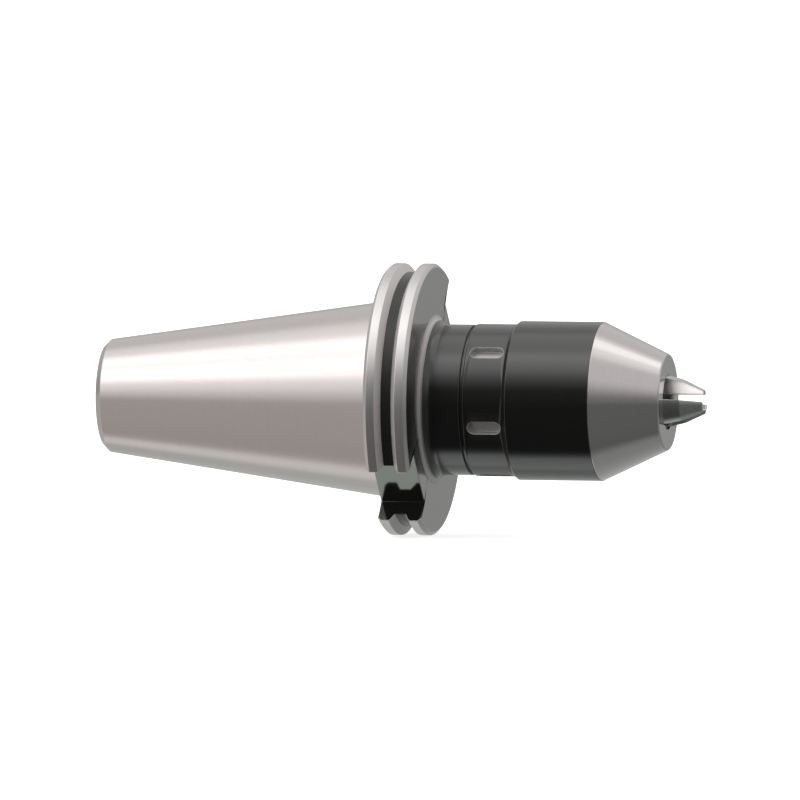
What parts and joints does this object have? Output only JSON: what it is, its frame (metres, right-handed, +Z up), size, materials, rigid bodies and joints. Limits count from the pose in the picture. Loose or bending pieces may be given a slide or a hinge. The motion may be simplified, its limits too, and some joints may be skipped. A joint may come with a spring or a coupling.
{
  "type": "drill chuck",
  "caption": "Keyless drill chuck on a size 50 steep-taper shank: V-flange, spanner ring, black sleeve, steel nose and three sliding jaws.",
  "frame": {"origin": "on the chuck axis at the gauge plane of the 7/24 taper", "axes": "+X along the chuck axis towards the jaws, +Z up as the chuck lies in view"},
  "size_m": [0.2196, 0.0974, 0.0974],
  "materials": {
    "ground_steel": "fine ground",
    "black_oxide": "black oxide, satin",
    "hardened_steel": "hardened and ground",
    "jaw_steel": "polished",
    "cage_brass": "turned",
    "seal_rubber": "matt"
  },
  "bodies": {
    "shank": {"taper_shank": "ground_steel", "rear_collar": "black_oxide", "rear_seal": "seal_rubber", "fixed_race": "hardened_steel", "disc_spring": "hardened_steel", "lock_nut": "black_oxide", "nut_grub_screws": "black_oxide"},
    "bearing_cage": {"ball_cage": "cage_brass", "bearing_balls": "hardened_steel"},
    "sleeve": {"spanner_ring": "black_oxide", "outer_sleeve": "black_oxide", "nose_cone": "ground_steel", "nose_seal": "seal_rubber", "jaw_guide": "hardened_steel", "guide_dowels": "hardened_steel", "guide_snap_ring": "black_oxide", "sleeve_bush": "cage_brass", "moving_race": "hardened_steel"},
    "screw": {"drive_screw": "hardened_steel"},
    "jaw_1": {"jaw_1": "jaw_steel"},
    "jaw_2": {"jaw_2": "jaw_steel"},
    "jaw_3": {"jaw_3": "jaw_steel"}
  },
  "joints": [
    {"name": "sleeve_turn", "type": "hinge", "parent": "shank", "child": "sleeve", "pos_m": [0, 0, 0], "axis": [1, 0, 0], "range_deg": [-2350.8, 559.2]},
    {"name": "cage_turn", "type": "hinge", "parent": "shank", "child": "bearing_cage", "pos_m": [0, 0, 0], "axis": [1, 0, 0], "range_deg": [-1175.9, 280.1]},
    {"name": "screw_feed", "type": "slide", "parent": "sleeve", "child": "screw", "axis": [1, 0, 0], "range_m": [-0.01961, 0.00468]},
    {"name": "jaw_1_slide", "type": "slide", "parent": "sleeve", "child": "jaw_1", "axis": [0.9659, -0.0405, -0.2556], "range_m": [-0.0203, 0.00484]},
    {"name": "jaw_2_slide", "type": "slide", "parent": "sleeve", "child": "jaw_2", "axis": [0.9659, 0.2416, 0.0928], "range_m": [-0.0203, 0.00484]},
    {"name": "jaw_3_slide", "type": "slide", "parent": "sleeve", "child": "jaw_3", "axis": [0.9659, -0.2011, 0.1629], "range_m": [-0.0203, 0.00484]}
  ],
  "couplings": [
    {"joint": "cage_turn", "follows": "sleeve_turn", "ratio": 0.5},
    {"joint": "screw_feed", "follows": "sleeve_turn", "m_per_rad": 0.00047746},
    {"joint": "jaw_1_slide", "follows": "sleeve_turn", "m_per_rad": 0.00049431},
    {"joint": "jaw_2_slide", "follows": "sleeve_turn", "m_per_rad": 0.00049431},
    {"joint": "jaw_3_slide", "follows": "sleeve_turn", "m_per_rad": 0.00049431}
  ]
}
